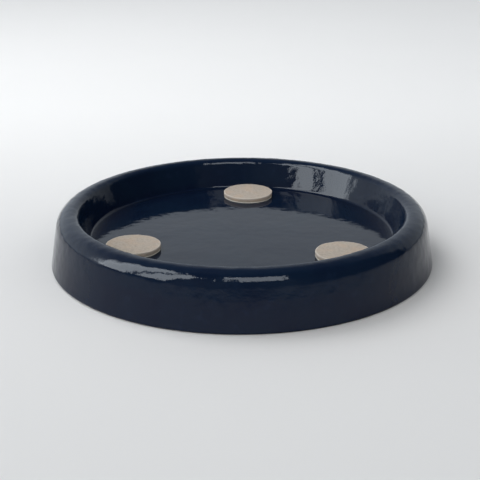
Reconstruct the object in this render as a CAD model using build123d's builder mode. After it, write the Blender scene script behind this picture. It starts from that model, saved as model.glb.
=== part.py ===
from build123d import *

import os
from math import asin, cos, degrees, radians, sin, sqrt, tan

# Round plant saucer: one glazed ceramic dish with a rolled rim, a raised well floor and a hollow
# underside, and felt pads bonded to the well floor, on which a pot stands clear of the water.
# Millimetres and degrees. +Z is up, and the origin is on the shelf, at the middle of the dish.

# Dish, outside
base_diameter = 250.0  # across the skirt where its outer face meets the shelf
overall_height = 35.3
skirt_lean = 9.85  # the skirt's outer face leans inwards from the foot to the rim
skirt_curve_radius = 900.0  # the skirt's slight outward curve, seen in section
foot_edge_radius = 1.5

# Rim, measured across its top between the skirt's and the well's faces
rim_width = 12.3
lip_radius = 5.0  # the rim's rolled inner edge, above the well
crest_flat = 0.6  # level strip on top, between the shoulder's arc and the lip's

# Well
floor_height = 15.7  # top of the well floor above the shelf
well_lean = 20.0  # the well's wall leans outwards from the floor to the rim, taken straight across
well_curve_radius = 300.0  # the wall swells slightly towards the well, and turns over into the lip
well_corner_radius = 2.0

# Ceramic section and hollow underside
wall_thickness = 8.0
floor_thickness = 7.0
groove_radius = 2.5  # top of the groove under the rim
underside_bend_radius = 6.0  # floor's underside turning up into the groove

# Felt pads and the adhesive discs that hold them
felt_pad_diameter = 35.0
felt_pad_thickness = 3.0
felt_edge_radius = 0.5
adhesive_thickness = 0.6
adhesive_inset = 0.2  # the adhesive disc is smaller than the felt by this much all round
pad_angles = {"back": 86.7, "left": 203.2, "right": 325.5}  # about +Z, from +X
# From each adhesive disc's edge to the start of the well's corner arc
pad_corner_gaps = {"back": 1.5, "left": 5.8, "right": 4.2}

# The dish's section, worked out from the sizes above
base_radius = base_diameter / 2
skirt_slope = tan(radians(skirt_lean))
well_slope = tan(radians(well_lean))
rim_outer_radius = base_radius - overall_height * skirt_slope
rim_inner_radius = rim_outer_radius - rim_width
well_depth = overall_height - floor_height
floor_corner_radius = rim_inner_radius - well_depth * well_slope
underside_height = floor_height - floor_thickness

# The curved skirt leans furthest where it meets the shoulder
skirt_length = overall_height / cos(radians(skirt_lean))
shoulder_lean = skirt_lean + degrees(asin(skirt_length / 2 / skirt_curve_radius))

# Centre of the well wall's curve, which lies inside the clay
well_chord = well_depth / cos(radians(well_lean))
well_bow = sqrt(well_curve_radius**2 - (well_chord / 2) ** 2)
curve_centre_radius = (rim_inner_radius + floor_corner_radius) / 2 + well_bow * cos(radians(well_lean))
curve_centre_height = (overall_height + floor_height) / 2 - well_bow * sin(radians(well_lean))
# The lip's arc touches that curve from within, and the corner's arc touches it from outside
lip_rise = overall_height - lip_radius - curve_centre_height
crest_inner_radius = curve_centre_radius - sqrt((well_curve_radius - lip_radius) ** 2 - lip_rise**2)
corner_rise = floor_height + well_corner_radius - curve_centre_height
flat_floor_radius = curve_centre_radius - sqrt((well_curve_radius + well_corner_radius) ** 2 - corner_rise**2)

# The shoulder's arc takes all of the rim that the lip's arc and the crest leave
shoulder_ratio = tan(radians(90 - shoulder_lean) / 2)
shoulder_radius = (rim_outer_radius - crest_inner_radius - crest_flat) / shoulder_ratio

# The groove's two faces run parallel to the skirt and to the well's straight lean, one wall thickness in
skirt_wall = wall_thickness / cos(radians(skirt_lean))
well_wall = wall_thickness / cos(radians(well_lean))
groove_top_depth = (skirt_wall + well_wall - rim_width) / (skirt_slope + well_slope)
groove_top_height = overall_height - groove_top_depth
foot_inner_radius = base_radius - skirt_wall
groove_top_radius = foot_inner_radius - groove_top_height * skirt_slope
underside_radius = floor_corner_radius + well_wall - floor_thickness * well_slope

# Pads
adhesive_diameter = felt_pad_diameter - 2 * adhesive_inset
felt_height = floor_height + adhesive_thickness

# Corners of the section as (radius, height)
foot_outer = (base_radius, 0)
shoulder = (rim_outer_radius, overall_height)
lip = (rim_inner_radius, overall_height)
well_corner = (floor_corner_radius, floor_height)
floor_middle = (0, floor_height)
underside_middle = (0, underside_height)
underside_bend = (underside_radius, underside_height)
groove_top = (groove_top_radius, groove_top_height)
foot_inner = (foot_inner_radius, 0)
straight_run = [
    well_corner,
    floor_middle,
    underside_middle,
    underside_bend,
    groove_top,
    foot_inner,
    foot_outer,
]
# Each corner with the arc that rounds it
corner_arcs = [
    (foot_outer, foot_edge_radius),
    (shoulder, shoulder_radius),
    (lip, lip_radius),
    (well_corner, well_corner_radius),
    (underside_bend, underside_bend_radius),
    (groove_top, groove_radius),
    (foot_inner, foot_edge_radius),
]


def pad_plane(place, height):
    """Level plane at one pad's centre, with its X axis pointing away from the dish's middle."""
    angle = radians(pad_angles[place])
    outward = Vector(cos(angle), sin(angle), 0)
    reach = flat_floor_radius - pad_corner_gaps[place] - adhesive_diameter / 2
    return Plane(origin=outward * reach + Vector(0, 0, height), x_dir=outward, z_dir=(0, 0, 1))


def save(piece, name):
    """Labels one finished piece and writes it as a STEP file of that name."""
    piece.label = name
    export_step(piece, f"parts/{name}.step")


os.makedirs("parts", exist_ok=True)

# Dish: the rounded section turned once about its middle
with BuildPart() as saucer_dish:
    with BuildSketch(Plane.XZ) as section:
        with BuildLine():
            RadiusArc(foot_outer, shoulder, -skirt_curve_radius)
            Line(shoulder, lip)
            RadiusArc(lip, well_corner, -well_curve_radius)
            Polyline(*straight_run)
        make_face()
        for corner, radius in corner_arcs:
            fillet(section.vertices().sort_by_distance(corner)[0], radius)
    revolve(axis=Axis.Z)
save(saucer_dish.part, "saucer_dish")

# Pads: each a felt disc with a softened upper edge, on its own adhesive disc
for place in pad_angles:
    with BuildPart() as pad_adhesive:
        with BuildSketch(pad_plane(place, floor_height)):
            Circle(adhesive_diameter / 2)
        extrude(amount=adhesive_thickness)
    save(pad_adhesive.part, f"pad_adhesive_{place}")

    with BuildPart() as felt_pad:
        with BuildSketch(pad_plane(place, felt_height)):
            Circle(felt_pad_diameter / 2)
        extrude(amount=felt_pad_thickness)
        fillet(felt_pad.edges().group_by(Axis.Z)[-1], felt_edge_radius)
    save(felt_pad.part, f"felt_pad_{place}")
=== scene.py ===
"""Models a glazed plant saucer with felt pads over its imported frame, and sets it in a small studio."""

from math import asin, atan2, ceil, copysign, cos, pi, radians, sin, sqrt, tan

import bpy
from bpy.props import FloatProperty, FloatVectorProperty, IntProperty, PointerProperty
from bpy.types import Operator, Panel, PropertyGroup
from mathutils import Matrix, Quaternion, Vector


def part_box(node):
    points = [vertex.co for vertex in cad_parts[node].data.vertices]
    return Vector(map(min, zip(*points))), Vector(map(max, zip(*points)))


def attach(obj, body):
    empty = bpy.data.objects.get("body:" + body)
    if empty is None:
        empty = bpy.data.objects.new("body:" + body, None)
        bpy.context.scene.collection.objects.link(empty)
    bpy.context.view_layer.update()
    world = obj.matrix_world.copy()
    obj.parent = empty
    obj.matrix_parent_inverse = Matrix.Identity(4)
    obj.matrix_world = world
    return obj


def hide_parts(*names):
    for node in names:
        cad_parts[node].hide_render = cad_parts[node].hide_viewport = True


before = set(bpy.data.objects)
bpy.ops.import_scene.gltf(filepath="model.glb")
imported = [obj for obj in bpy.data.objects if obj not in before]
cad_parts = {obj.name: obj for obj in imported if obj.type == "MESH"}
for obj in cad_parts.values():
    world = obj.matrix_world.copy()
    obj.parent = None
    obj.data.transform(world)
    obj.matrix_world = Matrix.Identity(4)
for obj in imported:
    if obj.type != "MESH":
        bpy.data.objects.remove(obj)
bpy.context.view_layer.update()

bl_info = {
    "name": "Glazed Plant Saucer",
    "version": (1, 0, 0),
    "blender": (4, 5, 0),
    "location": "View3D > Sidebar > Saucer",
    "description": "Models a glazed plant saucer, its felt pads and its studio",
    "category": "Object",
}

# The frame's own heights
dish_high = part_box("saucer_dish")[1]
adhesive_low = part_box("pad_adhesive_back")[0]
PAD_PLACES = ("back", "left", "right")


# Properties


def length(name, description, default):
    """A size in metres."""
    return FloatProperty(
        name=name, description=description, default=default, min=0.0, unit="LENGTH", precision=5
    )


def lean(name, description, degrees):
    """An angle, given in degrees."""
    return FloatProperty(name=name, description=description, default=radians(degrees), subtype="ANGLE")


def level(name, description, default):
    """A plain number, such as a lamp's brightness."""
    return FloatProperty(name=name, description=description, default=default, min=0.0)


def paint(name, description, *shown):
    """A colour, given as the red, green and blue from 0 to 255 that a screen shows."""
    linear = [(c / 255 / 12.92 if c <= 10 else ((c / 255 + 0.055) / 1.055) ** 2.4) for c in shown]
    return FloatVectorProperty(
        name=name, description=description, default=linear, size=3, min=0.0, max=1.0, subtype="COLOR"
    )


class SaucerDishSizes(PropertyGroup):
    """Sizes of the ceramic dish."""

    base_diameter: length("Base diameter", "Across the skirt where its outer face meets the shelf", 0.250)
    overall_height: length("Height", "From the shelf to the top of the rim", dish_high.z)
    skirt_lean: lean("Skirt lean", "How far the skirt leans inwards from the foot to the rim", 9.85)
    skirt_curve_radius: length("Skirt curve", "Radius of the skirt's slight outward curve", 0.900)
    foot_edge_radius: length("Foot edge", "Radius of the foot ring's two edges", 0.0015)
    rim_width: length("Rim width", "Across the rim's top, between the skirt's and the well's faces", 0.0123)
    lip_radius: length("Lip radius", "Radius of the rim's rolled inner edge", 0.005)
    crest_flat: length("Crest", "Level strip on top of the rim", 0.0006)
    floor_height: length("Floor height", "Top of the well floor above the shelf", adhesive_low.z)
    well_lean: lean("Well lean", "How far the well's wall leans outwards, taken straight across", 20.0)
    well_curve_radius: length("Well curve", "Radius of the well wall's swell towards the well", 0.300)
    well_corner_radius: length("Well corner", "Radius between the well's wall and its floor", 0.002)
    wall_thickness: length("Wall", "Thickness of the skirt and of the well's wall", 0.008)
    floor_thickness: length("Floor thickness", "Thickness of the well floor", 0.007)
    groove_radius: length("Groove", "Radius at the top of the groove under the rim", 0.0025)
    underside_bend_radius: length("Underside bend", "Radius where the floor turns up into the groove", 0.006)
    shown_spacing: length("Mesh spacing", "Between the mesh's rings on the surfaces that show", 0.0015)
    hidden_spacing: length("Underside spacing", "Between the mesh's rings underneath", 0.005)
    round_steps: IntProperty(
        name="Round steps", description="Mesh steps once round the dish", default=432, min=48
    )
    broad_ripple: length("Broad ripple", "Depth of the glaze's broad unevenness", 0.00022)
    broad_ripple_size: length("Broad ripple size", "Half the width of one broad swell in the glaze", 0.022)
    middle_ripple: length("Middle ripple", "Depth of the glaze's middling unevenness", 0.00025)
    middle_ripple_size: length("Middle ripple size", "Half the width of one middling swell", 0.007)
    close_ripple: length("Close ripple", "Depth of the glaze's close unevenness", 0.00017)
    close_ripple_size: length("Close ripple size", "Half the width of one close swell in the glaze", 0.0035)


class SaucerPadSizes(PropertyGroup):
    """Sizes of the felt pads and of the adhesive discs under them."""

    felt_diameter: length("Felt diameter", "Across one felt pad", 0.035)
    felt_edge_radius: length("Felt edge", "Radius of the felt's upper edge", 0.0005)
    adhesive_diameter: length("Adhesive diameter", "Across one adhesive disc", 0.0346)
    adhesive_edge_radius: length("Adhesive edge", "Radius of the adhesive disc's edges", 0.0002)
    mesh_spacing: length("Mesh spacing", "Between the mesh's rings", 0.0005)
    round_steps: IntProperty(
        name="Round steps", description="Mesh steps once round a pad", default=220, min=24
    )
    felt_lump: length("Felt lumps", "Depth of the felt's matted unevenness", 0.00022)
    felt_lump_size: length("Felt lump size", "Half the width of one lump in the felt", 0.0030)
    felt_fibre: length("Felt fibres", "Depth of the felt's fibrous surface", 0.00014)
    felt_fibre_size: length("Felt fibre size", "Half the width of one tuft of fibres", 0.0009)
    cut_wander: length("Cut wander", "How far the cut edge strays from a circle", 0.0008)
    cut_wander_size: length("Cut wander size", "Half the width of one bend in the cut edge", 0.008)


class SaucerColours(PropertyGroup):
    """Colours of the finishes."""

    glaze: paint("Glaze", "Navy glaze at its usual thickness", 14, 27, 45)
    glaze_pooled: paint("Pooled glaze", "Glaze where it has run thick", 11, 19, 39)
    glaze_thin: paint("Thin glaze", "Glaze where it has run thin over an edge", 34, 48, 74)
    bare_clay: paint("Bare clay", "Unglazed clay on the foot ring", 196, 180, 156)
    felt: paint("Felt", "Main colour of the felt", 178, 167, 154)
    # Darker fibres in the felt, also used for the painted shade on the pads' sides
    felt_dark_fibre_and_shade: paint("Felt shade", "Darker fibres in the felt", 152, 139, 125)
    felt_light: paint("Felt light", "Paler fibres in the felt", 203, 194, 183)
    felt_warm: paint("Felt warm", "Warmer wool blended into the felt", 186, 160, 134)
    adhesive: paint("Adhesive", "The adhesive discs", 220, 214, 201)
    # The floor's colours paint a light falloff: paler behind the saucer, greyer as painted shade towards the
    # viewer and out to the sides
    floor: paint("Floor", "The studio floor round the saucer", 226, 226, 226)
    back_floor: paint("Back floor", "The studio floor behind the saucer", 246, 246, 246)
    far_floor_painted_shade: paint("Far floor", "The studio floor towards the viewer and out to the sides", 150, 152, 156)


class SaucerStudio(PropertyGroup):
    """Camera and lamps."""

    camera_distance: length("Camera distance", "From the camera to the middle of the saucer's foot", 0.73061)
    camera_rise: lean("Camera rise", "Camera's elevation above the shelf", 21.1)
    camera_roll: lean("Camera roll", "Camera's turn about its own line of sight", -0.23)
    focal_length: level("Focal length", "Camera lens in millimetres", 82.5)
    window_level: level("Window", "Brightness of the window's panes in the glaze", 9.8)
    ceiling_level: level("Ceiling lamp", "Brightness of the overhead lamp in the glaze", 7.6)
    key_power: level("Key power", "Power in watts of the soft lamp behind the saucer", 9.0)
    front_level: level("Front light", "Strength of the soft light from the viewer's left", 1.7)
    fill_level: level("Fill light", "Strength of the soft light from the right", 0.7)


# Modelling


def arc(centre, radius, start, end, steps):
    """Points of a section's arc between two angles."""
    angles = [start + (end - start) * i / steps for i in range(steps + 1)]
    return [centre + Vector((cos(a), sin(a))) * radius for a in angles]


def corner_arc(before, corner, after, radius, steps):
    """Points of the arc that rounds one corner of a section, from the side before it to the side after."""
    back = (before - corner).normalized()
    ahead = (after - corner).normalized()
    half_angle = back.angle(ahead) / 2
    centre = corner + (back + ahead).normalized() * (radius / sin(half_angle))
    spoke = corner + back * (radius / tan(half_angle)) - centre
    start = atan2(spoke.y, spoke.x)
    return arc(centre, radius, start, start + copysign(pi - 2 * half_angle, -back.cross(ahead)), steps)


def run_points(start, end, spacing, curvature):
    """Points between the ends of one run of a section, which bows out to its left by its curvature."""
    run = end - start
    count = max(1, ceil(run.length / spacing))
    bow = Vector((-run.y, run.x)).normalized() * run.length ** 2 / 8 * curvature
    shares = [i / count for i in range(1, count)]
    return [start + run * share + bow * 4 * share * (1 - share) for share in shares]


def joined(arcs):
    """A section's points, from its arcs and the spacing and curvature of the run that leaves each."""
    points = []
    for i, (arc_points, spacing, curvature) in enumerate(arcs):
        points += arc_points
        if i + 1 < len(arcs):
            points += run_points(arc_points[-1], arcs[i + 1][0][0], spacing, curvature)
    return points


def dish_section(size):
    """The dish's section as (radius, height) points, from the floor's middle round to the underside's."""
    height, floor = size.overall_height, size.floor_height
    base_radius = size.base_diameter / 2
    skirt_slope = tan(size.skirt_lean)
    well_slope = tan(size.well_lean)
    rim_outer = base_radius - height * skirt_slope
    rim_inner = rim_outer - size.rim_width
    floor_corner = rim_inner - (height - floor) * well_slope
    underside = floor - size.floor_thickness

    # The well's wall is an arc about a point inside the clay; the lip and the floor's corner touch it
    lip, curve, corner = size.lip_radius, size.well_curve_radius, size.well_corner_radius
    half_chord = (height - floor) / cos(size.well_lean) / 2
    inward = Vector((cos(size.well_lean), -sin(size.well_lean)))
    wall_centre = Vector(((rim_inner + floor_corner) / 2, (height + floor) / 2))
    wall_centre += inward * sqrt(curve ** 2 - half_chord ** 2)
    lip_rise = height - lip - wall_centre.y
    corner_rise = floor + corner - wall_centre.y
    lip_centre = Vector((wall_centre.x - sqrt((curve - lip) ** 2 - lip_rise ** 2), height - lip))
    corner_centre = Vector((wall_centre.x - sqrt((curve + corner) ** 2 - corner_rise ** 2), floor + corner))
    wall_top = atan2(lip_rise, lip_centre.x - wall_centre.x)
    wall_foot = atan2(corner_rise, corner_centre.x - wall_centre.x)

    # The shoulder takes the rest of the rim, and meets the skirt where that leans most
    skirt_length = height / cos(size.skirt_lean)
    shoulder_lean = size.skirt_lean + asin(skirt_length / 2 / size.skirt_curve_radius)
    shoulder_start = lip_centre.x + size.crest_flat
    shoulder_radius = (rim_outer - shoulder_start) / tan((pi / 2 - shoulder_lean) / 2)
    shoulder_centre = Vector((shoulder_start, height - shoulder_radius))

    # Underneath, the groove's two faces run parallel to the skirt and to the well's lean
    skirt_wall = size.wall_thickness / cos(size.skirt_lean)
    well_wall = size.wall_thickness / cos(size.well_lean)
    groove_top = height - (skirt_wall + well_wall - size.rim_width) / (skirt_slope + well_slope)
    foot_inner = base_radius - skirt_wall
    shoulder_corner = Vector((rim_outer, height))
    outer_foot = Vector((base_radius, 0))
    inner_foot = Vector((foot_inner, 0))
    groove = Vector((foot_inner - groove_top * skirt_slope, groove_top))
    bend = Vector((floor_corner + well_wall - size.floor_thickness * well_slope, underside))
    underside_middle = Vector((0, underside))

    well = arc(corner_centre, corner, -pi / 2, wall_foot - pi, 8)[:-1]
    well += arc(wall_centre, curve, wall_foot, wall_top, 12)[:-1]
    well += arc(lip_centre, lip, wall_top, pi / 2, 12)
    show, hide = size.shown_spacing, size.hidden_spacing
    skirt_curvature = 1 / size.skirt_curve_radius
    return joined([
        ([Vector((0, floor))], show, 0),
        (well, show, 0),
        (arc(shoulder_centre, shoulder_radius, pi / 2, shoulder_lean, 12), show, skirt_curvature),
        (corner_arc(shoulder_corner, outer_foot, inner_foot, size.foot_edge_radius, 6), show, 0),
        (corner_arc(outer_foot, inner_foot, groove, size.foot_edge_radius, 6), hide, 0),
        (corner_arc(inner_foot, groove, bend, size.groove_radius, 6), hide, 0),
        (corner_arc(groove, bend, underside_middle, size.underside_bend_radius, 6), hide, 0),
        ([underside_middle], hide, 0),
    ])


def disc_section(radius, low, high, low_edge, high_edge, spacing):
    """The section of a round-edged disc, from the middle of its top round to the middle of its bottom."""
    top, bottom = Vector((0, high)), Vector((0, low))
    top_edge, bottom_edge = Vector((radius, high)), Vector((radius, low))
    return joined([
        ([top], spacing, 0),
        (corner_arc(top, top_edge, bottom_edge, high_edge, 4), spacing, 0),
        (corner_arc(top_edge, bottom_edge, bottom, low_edge, 4), spacing, 0),
        ([bottom], spacing, 0),
    ])


def turned_piece(name, section, steps):
    """Draws a section as a wire and spins it once round the vertical axis into a closed piece."""
    bpy.ops.object.select_all(action="DESELECT")
    bpy.ops.mesh.primitive_plane_add(size=0.001, location=(section[0].x, 0, section[0].y))
    piece = bpy.context.object
    piece.name = name
    bpy.ops.object.mode_set(mode="EDIT")
    bpy.ops.mesh.merge(type="CENTER")
    for here, there in zip(section, section[1:]):
        step = there - here
        bpy.ops.mesh.extrude_region_move(TRANSFORM_OT_translate={"value": (step.x, 0, step.y)})
    bpy.ops.mesh.select_all(action="SELECT")
    bpy.ops.mesh.spin(steps=steps, angle=2 * pi, center=(0, 0, 0), axis=(0, 0, 1))
    bpy.ops.mesh.select_all(action="SELECT")
    bpy.ops.mesh.remove_doubles(threshold=1e-6)
    bpy.ops.mesh.normals_make_consistent(inside=False)
    bpy.ops.object.mode_set(mode="OBJECT")
    bpy.ops.object.transform_apply(location=True, rotation=True, scale=True)
    bpy.ops.object.shade_smooth()
    return piece


def pick(piece):
    """Makes a piece the only one selected, and the active one."""
    bpy.ops.object.select_all(action="DESELECT")
    piece.select_set(True)
    bpy.context.view_layer.objects.active = piece


def copies(piece, names):
    """The piece under the first name, and a copy of it with a mesh of its own for each other name."""
    pieces = [piece]
    for _ in names[1:]:
        pick(piece)
        bpy.ops.object.duplicate(linked=False)
        pieces.append(bpy.context.object)
    for made, name in zip(pieces, names):
        made.name = name
    return pieces


def move_to_node(piece, node):
    """Moves a piece made on the vertical axis to its node's middle, and keeps the place in its mesh."""
    low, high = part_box(node)
    pick(piece)
    bpy.ops.transform.translate(value=((low.x + high.x) / 2, (low.y + high.y) / 2, 0))
    bpy.ops.object.transform_apply(location=True, rotation=True, scale=True)


def roughen(piece, name, width, depth, direction="NORMAL", zero=0.5, group=""):
    """Sets a piece's surface in and out by soft noise of that width and depth, and keeps the result."""
    noise = bpy.data.textures.new(name, "CLOUDS")
    noise.noise_scale = width
    noise.noise_depth = 1
    noise.noise_basis = "IMPROVED_PERLIN"
    bpy.context.view_layer.objects.active = piece
    bpy.ops.object.modifier_add(type="DISPLACE")
    swell = piece.modifiers[-1]
    swell.texture = noise
    swell.texture_coords = "LOCAL"
    swell.direction = direction
    swell.strength = depth
    swell.mid_level = zero
    swell.vertex_group = group
    bpy.ops.object.modifier_apply(modifier=swell.name)


def place_piece(piece, node, material):
    """Gives a finished piece its material and its body, and hides the frame's node that it stands for."""
    piece.data.materials.clear()
    piece.data.materials.append(material)
    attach(piece, "root")
    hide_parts(node)


# Finishes


class Wire:
    """An output socket among a material's nodes. Arithmetic on it adds Math nodes."""

    def __init__(self, tree, socket=None):
        self.tree = tree
        self.socket = socket

    def node(self, kind, settings=None, inputs=None, output=0):
        """Adds a node of that type, with its settings and its sockets' values or links. Gives an output."""
        node = self.tree.nodes.new(kind)
        for key, value in (settings or {}).items():
            setattr(node, key, value)
        for key, value in (inputs or {}).items():
            if isinstance(value, Wire):
                self.tree.links.new(value.socket, node.inputs[key])
            else:
                node.inputs[key].default_value = value
        return Wire(self.tree, node.outputs[output])

    def math(self, operation, first, second):
        """A Math node on two wires or numbers."""
        return self.node("ShaderNodeMath", {"operation": operation}, {0: first, 1: second})

    def __add__(self, other):
        return self.math("ADD", self, other)

    def __radd__(self, other):
        return self.math("ADD", other, self)

    def __sub__(self, other):
        return self.math("SUBTRACT", self, other)

    def __rsub__(self, other):
        return self.math("SUBTRACT", other, self)

    def __mul__(self, other):
        return self.math("MULTIPLY", self, other)

    def __rmul__(self, other):
        return self.math("MULTIPLY", other, self)

    def ease(self, start, end, low=0.0, high=1.0):
        """A smooth change from low to high as this value goes from start to end."""
        return self.node(
            "ShaderNodeMapRange",
            {"interpolation_type": "SMOOTHSTEP"},
            {"Value": self, "From Min": start, "From Max": end, "To Min": low, "To Max": high},
        )

    def steps(self, stops):
        """The grey that this value, from 0 to 1, finds between the places and greys given."""
        ramp = self.node("ShaderNodeValToRGB", inputs={"Fac": self})
        elements = ramp.socket.node.color_ramp.elements
        for i, (place, grey) in enumerate(stops):
            element = elements[i] if i < 2 else elements.new(place)
            element.position = place
            element.color = (grey, grey, grey, 1.0)
        return ramp

    def noise(self, scale, detail=2.0, roughness=0.5, distortion=0.0):
        """Noise from 0 to 1 over this vector, with about scale features to the metre."""
        return self.node(
            "ShaderNodeTexNoise",
            inputs={
                "Vector": self,
                "Scale": scale,
                "Detail": detail,
                "Roughness": roughness,
                "Distortion": distortion,
            },
        )

    def tint(self, first, second):
        """A colour between two others, by this share of the second."""
        return self.node(
            "ShaderNodeMix", {"data_type": "RGBA"}, {0: self, 6: opaque(first), 7: opaque(second)}, output=2
        )


def opaque(colour):
    """A wire as it is, or a plain colour with full alpha."""
    return colour if isinstance(colour, Wire) else (*colour, 1.0)


def new_finish(name, **constants):
    """A material with its shader's constant sockets set, its object coordinates and its shader."""
    material = bpy.data.materials.new(name)
    material.use_nodes = True
    tree = material.node_tree
    shader = tree.nodes["Principled BSDF"]
    for socket, value in constants.items():
        shader.inputs[socket.replace("_", " ")].default_value = value
    place = Wire(tree).node("ShaderNodeTexCoord", output="Object")
    return material, place, shader


def feed(shader, **wires):
    """Links wires to a shader's sockets."""
    for socket, wire in wires.items():
        wire.tree.links.new(wire.socket, shader.inputs[socket.replace("_", " ")])


def relief(height, depth):
    """A normal bent by a height from 0 to 1 that stands for that depth in metres."""
    return height.node("ShaderNodeBump", inputs={"Strength": 1.0, "Distance": depth, "Height": height})


def glaze_finish(colours, size):
    """Glossy navy glaze: pooled in the well's corner, thin over the rim, dimpled, and bare under the foot."""
    material, place, shader = new_finish("navy_glaze", IOR=1.28)
    height = place.node("ShaderNodeSeparateXYZ", inputs={0: place}, output="Z")
    level_place = place.node("ShaderNodeVectorMath", {"operation": "MULTIPLY"}, {0: place, 1: (1, 1, 0)})
    radius = place.node("ShaderNodeVectorMath", {"operation": "LENGTH"}, {0: level_place}, output="Value")

    cloud = place.noise(38.0, detail=3.0)
    streak = place.noise(160.0)
    speck = place.noise(1500.0, detail=1.0).ease(0.70, 0.76)
    rim = height.ease(size.overall_height - 0.0035, size.overall_height - 0.0004)
    floor_level = height.ease(size.floor_height + 0.006, size.floor_height + 0.001)
    corner = radius.ease(0.084, 0.095) * floor_level
    bare = (height + (cloud - 0.5) * 0.0002).ease(0.00025, 0.00005)

    colour = (cloud.ease(0.35, 0.7) * 0.5 + corner * 0.4).tint(colours.glaze, colours.glaze_pooled)
    colour = (rim * 0.12 + streak.ease(0.55, 0.8) * 0.12).tint(colour, colours.glaze_thin)
    colour = (speck * 0.35).tint(colour, colours.glaze_pooled)
    colour = bare.tint(colour, colours.bare_clay)
    roughness = 0.035 + cloud * 0.03 + speck * 0.15 + bare * 0.75
    peel = place.noise(420.0) * 0.7 + place.noise(1300.0, detail=1.0) * 0.3
    uneven = height.ease(size.floor_height + 0.001, size.floor_height + 0.004, 0.35, 1.0)
    feed(shader, Base_Color=colour, Roughness=roughness, Normal=relief(peel * uneven, 0.00009))
    return material


def felt_finish(colours, top):
    """Matted wool felt: mixed pale, dark and warm fibres, with a painted highlight along the upper edge and
    painted shade on the side below it.
    """
    material, place, shader = new_finish("beige_felt", Sheen_Weight=0.15, Sheen_Roughness=0.6, IOR=1.3)
    edge = place.node("ShaderNodeAttribute", {"attribute_name": "edge_share"}, output="Fac")
    mat = place.noise(620.0, detail=3.0, roughness=0.6)
    fibre = place.noise(1900.0, detail=3.0, roughness=0.65, distortion=1.5)
    patch = place.noise(110.0)
    height = place.node("ShaderNodeSeparateXYZ", inputs={0: place}, output="Z")
    upper = height.ease(top - 0.0014, top - 0.0004)
    # Painted highlight: the felt's upper edge is painted paler
    rim = edge.ease(0.935, 0.985) * upper
    # Painted shade: the pad's side, below the upper edge, is painted darker
    side = edge.ease(0.97, 0.995) * (1 - upper)
    matted = fibre.ease(0.30, 0.62) * 0.5 + mat.ease(0.38, 0.62) * 0.5
    # Matted tone, darkened on the side as painted shade
    colour = (matted * (1 - side * 0.5)).tint(colours.felt_dark_fibre_and_shade, colours.felt)
    colour = (patch.ease(0.42, 0.66) * 0.35).tint(colour, colours.felt_warm)
    # Paler fibres, plus the painted highlight along the upper edge
    colour = (fibre.ease(0.58, 0.78) * 0.5 + rim * 0.7).tint(colour, colours.felt_light)
    feed(
        shader,
        Base_Color=colour,
        Roughness=0.86 + fibre * 0.12,
        Normal=relief(fibre * 0.6 + mat * 0.4, 0.0002),
    )
    return material


def adhesive_finish(colours):
    """Off-white adhesive foam, a little mottled."""
    material, place, shader = new_finish("pad_adhesive", IOR=1.45)
    mottle = place.noise(260.0, detail=3.0)
    cells = place.noise(2600.0, detail=1.0)
    dusty = [0.8 * c for c in colours.adhesive]
    feed(
        shader,
        Base_Color=(mottle.ease(0.35, 0.7) * 0.6).tint(colours.adhesive, dusty),
        Roughness=0.42 + mottle * 0.2,
        Normal=relief(cells, 0.00005),
    )
    return material


def floor_finish(colours):
    """Studio floor with painted light falloff: palest behind the saucer, and painted greyer, as shade,
    towards the viewer and out to the sides.
    """
    material, place, shader = new_finish("studio_floor", Specular_IOR_Level=0.1)
    across, along = (place.node("ShaderNodeSeparateXYZ", inputs={0: place}, output=axis) for axis in "XY")
    # Painted shade: greyer out to the sides and towards the viewer, beyond the camera's view
    beside = place.math("ABSOLUTE", across, 0.0) - along * 0.36
    grey = place.math("MAXIMUM", beside.ease(0.21, 0.80), along.ease(-0.285, -0.75))
    # Painted light: paler towards the back, behind the saucer
    pale = along.ease(-0.05, 0.45) * 0.9 + place.noise(6.0, detail=3.0) * 0.1
    colour = grey.tint(pale.tint(colours.floor, colours.back_floor), colours.far_floor_painted_shade)
    feed(shader, Base_Color=colour, Roughness=0.8 + place.noise(20.0) * 0.1)
    return material


# Operators


class SAUCER_OT_dish(Operator):
    """Models the glazed dish"""

    bl_idname = "saucer.dish"
    bl_label = "Glazed Dish"

    def execute(self, context):
        size = context.scene.saucer_dish
        dish = turned_piece("glazed_dish", dish_section(size), size.round_steps)

        # The ripples die out at the bare foot, and lie flatter on the well floor
        glazed = dish.vertex_groups.new(name="glazed")
        uneven = dish.vertex_groups.new(name="uneven")
        for vertex in dish.data.vertices:
            above_foot = min(1.0, max(0.0, (vertex.co.z - 0.001) / 0.003))
            above_floor = min(1.0, max(0.0, (vertex.co.z - size.floor_height) / 0.004))
            inside = vertex.co.xy.length < size.base_diameter * 0.4
            flatness = 0.35 + 0.65 * above_floor if inside else 1.0
            glazed.add([vertex.index], above_foot, "REPLACE")
            uneven.add([vertex.index], above_foot * flatness, "REPLACE")
        ripples = {"broad_ripple": "glazed", "middle_ripple": "uneven", "close_ripple": "uneven"}
        for name, group in ripples.items():
            width = getattr(size, f"{name}_size")
            roughen(dish, name, width, getattr(size, name), zero=0.73, group=group)
        place_piece(dish, "saucer_dish", glaze_finish(context.scene.saucer_colours, size))
        return {"FINISHED"}


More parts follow.
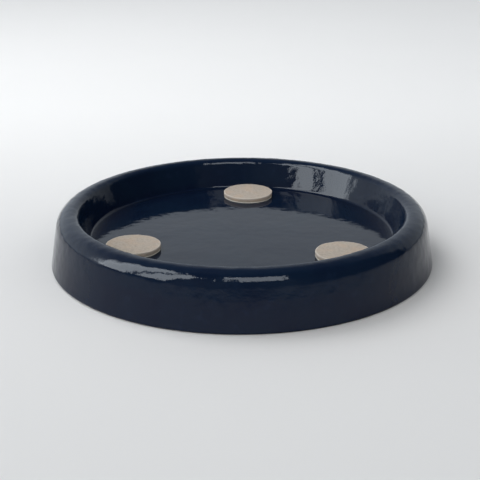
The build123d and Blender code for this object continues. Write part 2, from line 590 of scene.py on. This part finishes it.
class SAUCER_OT_felt_pads(Operator):
    """Models the felt pads on the well floor"""

    bl_idname = "saucer.felt_pads"
    bl_label = "Felt Pads"

    def execute(self, context):
        size = context.scene.saucer_pads
        low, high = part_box("felt_pad_back")
        radius, edge = size.felt_diameter / 2, size.felt_edge_radius
        section = disc_section(radius, low.z, high.z, edge, edge, size.mesh_spacing)
        first = turned_piece("felt_disc", section, size.round_steps)
        shares = first.data.attributes.new("edge_share", "FLOAT", "POINT")
        for vertex, share in zip(first.data.vertices, shares.data):
            share.value = vertex.co.xy.length / radius

        felt = felt_finish(context.scene.saucer_colours, high.z)
        pads = copies(first, [f"felt_disc_{place}" for place in PAD_PLACES])
        for pad, place in zip(pads, PAD_PLACES):
            node = f"felt_pad_{place}"
            move_to_node(pad, node)
            roughen(pad, "cut_wander_x", size.cut_wander_size, size.cut_wander, direction="X")
            roughen(pad, "cut_wander_y", size.cut_wander_size * 1.1, size.cut_wander, direction="Y")
            roughen(pad, "felt_lumps", size.felt_lump_size, size.felt_lump, zero=0.65)
            roughen(pad, "felt_fibres", size.felt_fibre_size, size.felt_fibre, zero=0.65)
            place_piece(pad, node, felt)
        return {"FINISHED"}


class SAUCER_OT_pad_adhesives(Operator):
    """Models the adhesive discs under the felt pads"""

    bl_idname = "saucer.pad_adhesives"
    bl_label = "Pad Adhesives"

    def execute(self, context):
        size = context.scene.saucer_pads
        low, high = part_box("pad_adhesive_back")
        edge = size.adhesive_edge_radius
        section = disc_section(size.adhesive_diameter / 2, low.z, high.z, edge, edge, size.mesh_spacing)
        first = turned_piece("adhesive_disc", section, size.round_steps)
        adhesive = adhesive_finish(context.scene.saucer_colours)
        discs = copies(first, [f"adhesive_disc_{place}" for place in PAD_PLACES])
        for disc, place in zip(discs, PAD_PLACES):
            node = f"pad_adhesive_{place}"
            move_to_node(disc, node)
            roughen(disc, "cut_wander_x", size.cut_wander_size, size.cut_wander, direction="X")
            roughen(disc, "cut_wander_y", size.cut_wander_size * 1.1, size.cut_wander, direction="Y")
            place_piece(disc, node, adhesive)
        return {"FINISHED"}


def aim(obj, target, roll=0.0):
    """Turns a lamp or a camera to face a point, rolled about its own line of sight."""
    facing = (Vector(target) - obj.location).to_track_quat("-Z", "Y")
    obj.rotation_euler = (facing @ Quaternion((0, 0, 1), roll)).to_euler()


def bearing(turn, rise, distance):
    """The point that far off, turned in degrees from straight behind the saucer to its right, and raised."""
    along = cos(radians(rise)) * distance
    return Vector((sin(radians(turn)) * along, cos(radians(turn)) * along, sin(radians(rise)) * distance))


def panel_lamp(name, place, width, height, power, colour):
    """A flat lamp of that power in watts which faces the saucer."""
    bpy.ops.object.light_add(type="AREA", location=place)
    lamp = bpy.context.object
    lamp.name = name
    lamp.data.shape = "RECTANGLE"
    lamp.data.size = width
    lamp.data.size_y = height
    lamp.data.energy = power
    lamp.data.color = colour
    aim(lamp, (0, 0, 0))
    return lamp


# Colour of the light from the window, the ceiling lamp and the surroundings
DAYLIGHT = (0.87, 0.94, 1.0)

# Each pane spans a stretch of the window's plane, left, right, bottom and top in metres from its middle,
# and has its share of the window's brightness
WINDOW_PANES = (
    (-0.56, -0.41, -0.95, 1.10, 0.4),
    (-0.41, 0.50, -1.10, 1.35, 1.0),
    (0.71, 1.50, -0.90, 1.20, 1.0),
)

# Directions in degrees and distances in metres of the window's middle and of the ceiling lamp
WINDOW_TURN, WINDOW_RISE, WINDOW_DISTANCE = -100, 33, 2.2
CEILING_RISE, CEILING_DISTANCE = 49, 2.4

# Each part of the ceiling lamp by its turn in degrees, and its width and height in metres
CEILING_LAMPS = ((167, 1.00, 1.15), (-169, 0.14, 1.15))

# Brightness of the surroundings once round, from the viewer by the left, the back and the right
WALL_STOPS = (
    (0.0, 0.08),
    (0.04, 0.20),
    (0.10, 0.28),
    (0.115, 0.12),
    (0.24, 0.12),
    (0.25, 1.40),
    (0.28, 1.40),
    (0.29, 1.10),
    (0.42, 0.80),
    (0.50, 0.62),
    (0.58, 0.55),
    (0.68, 0.50),
    (0.69, 0.02),
    (0.895, 0.02),
    (0.91, 0.18),
    (1.0, 0.08),
)

# Places in metres
KEY_PLACE = (-0.6, 0.40, 1.2)
CAMERA_AIM = (-0.00124, 0, 0.01075)


class SAUCER_OT_studio(Operator):
    """Sets up the floor, the light and the camera"""

    bl_idname = "saucer.studio"
    bl_label = "Studio"

    def execute(self, context):
        scene = context.scene
        studio = scene.saucer_studio

        bpy.ops.object.select_all(action="DESELECT")
        bpy.ops.mesh.primitive_plane_add(size=12.0)
        floor = context.object
        floor.name = "studio_floor"
        floor.data.materials.append(floor_finish(scene.saucer_colours))

        # Panes of a window on the left and a lamp above the viewer, which show as highlights only
        middle = bearing(WINDOW_TURN, WINDOW_RISE, WINDOW_DISTANCE)
        facing = middle.to_track_quat("Z", "Y")
        shining = []
        for left, right, bottom, top, share in WINDOW_PANES:
            shift = facing @ Vector(((left + right) / 2, (bottom + top) / 2, 0))
            width, height = right - left, top - bottom
            power = studio.window_level * share * pi * width * height
            pane = panel_lamp("window_pane", middle + shift, width, height, power, DAYLIGHT)
            pane.rotation_euler = facing.to_euler()
            shining.append(pane)
        for turn, width, height in CEILING_LAMPS:
            power = studio.ceiling_level * pi * width * height
            place = bearing(turn, CEILING_RISE, CEILING_DISTANCE)
            shining.append(panel_lamp("ceiling_lamp", place, width, height, power, DAYLIGHT))
        for lamp in shining:
            lamp.visible_diffuse = False

        # Soft light that shows no highlight: a large lamp above and behind, and two broad ones from the sides
        key = panel_lamp("key_light", KEY_PLACE, 0.9, 0.9, studio.key_power, (1, 1, 1))
        key.visible_glossy = False
        for name, place, strength in (
            ("front_light", bearing(-148, 28, 2.0), studio.front_level),
            ("fill_light", bearing(115, 35, 2.0), studio.fill_level),
        ):
            bpy.ops.object.light_add(type="SUN", location=place)
            broad = context.object
            broad.name = name
            broad.data.energy = strength
            broad.data.angle = radians(60)
            broad.visible_glossy = False
            aim(broad, (0, 0, 0))

        # Surroundings by direction: pale behind and on the left, dim on the right, in front and overhead
        world = bpy.data.worlds.new("studio")
        scene.world = world
        world.use_nodes = True
        background = world.node_tree.nodes["Background"]
        direction = Wire(world.node_tree).node("ShaderNodeTexCoord", output="Generated")
        across, along, up = (
            direction.node("ShaderNodeSeparateXYZ", inputs={0: direction}, output=axis) for axis in "XYZ"
        )
        turn = direction.math("ARCTAN2", across, along) * (0.5 / pi) + 0.5
        strength = turn.steps(WALL_STOPS) * up.ease(0.42, 0.9, 1.17, 0.14) * up.ease(0.0, 0.10, 0.75, 1.0)
        background.inputs["Color"].default_value = (*DAYLIGHT, 1.0)
        feed(background, Strength=strength)

        bpy.ops.object.camera_add()
        camera = context.object
        camera.name = "photo_camera"
        rise = studio.camera_rise
        camera.location = Vector((0, -cos(rise), sin(rise))) * studio.camera_distance
        camera.data.lens = studio.focal_length
        camera.data.clip_start = 0.01
        aim(camera, CAMERA_AIM, studio.camera_roll)
        scene.camera = camera
        scene.view_settings.view_transform = "Standard"
        return {"FINISHED"}


class SAUCER_PT_panel(Panel):
    """Lists the saucer's pieces and its settings"""

    bl_idname = "SAUCER_PT_panel"
    bl_label = "Plant Saucer"
    bl_space_type = "VIEW_3D"
    bl_region_type = "UI"
    bl_category = "Saucer"

    def draw(self, context):
        for operator in OPERATORS:
            self.layout.operator(operator.bl_idname)
        for name in SETTINGS:
            box = self.layout.box()
            group = getattr(context.scene, name)
            for key in group.bl_rna.properties.keys():
                if key not in {"rna_type", "name"}:
                    box.prop(group, key)


SETTINGS = {
    "saucer_dish": SaucerDishSizes,
    "saucer_pads": SaucerPadSizes,
    "saucer_colours": SaucerColours,
    "saucer_studio": SaucerStudio,
}
OPERATORS = (SAUCER_OT_dish, SAUCER_OT_pad_adhesives, SAUCER_OT_felt_pads, SAUCER_OT_studio)


def register():
    """Registers the classes and hangs the settings on the scene."""
    for cls in (*SETTINGS.values(), *OPERATORS, SAUCER_PT_panel):
        bpy.utils.register_class(cls)
    for name, group in SETTINGS.items():
        setattr(bpy.types.Scene, name, PointerProperty(type=group))


def unregister():
    """Removes what register added."""
    for name in SETTINGS:
        delattr(bpy.types.Scene, name)
    for cls in reversed((*SETTINGS.values(), *OPERATORS, SAUCER_PT_panel)):
        bpy.utils.unregister_class(cls)


def main():
    """Builds every piece and the studio."""
    register()
    bpy.ops.saucer.dish()
    bpy.ops.saucer.pad_adhesives()
    bpy.ops.saucer.felt_pads()
    bpy.ops.saucer.studio()


if __name__ == "__main__":
    main()
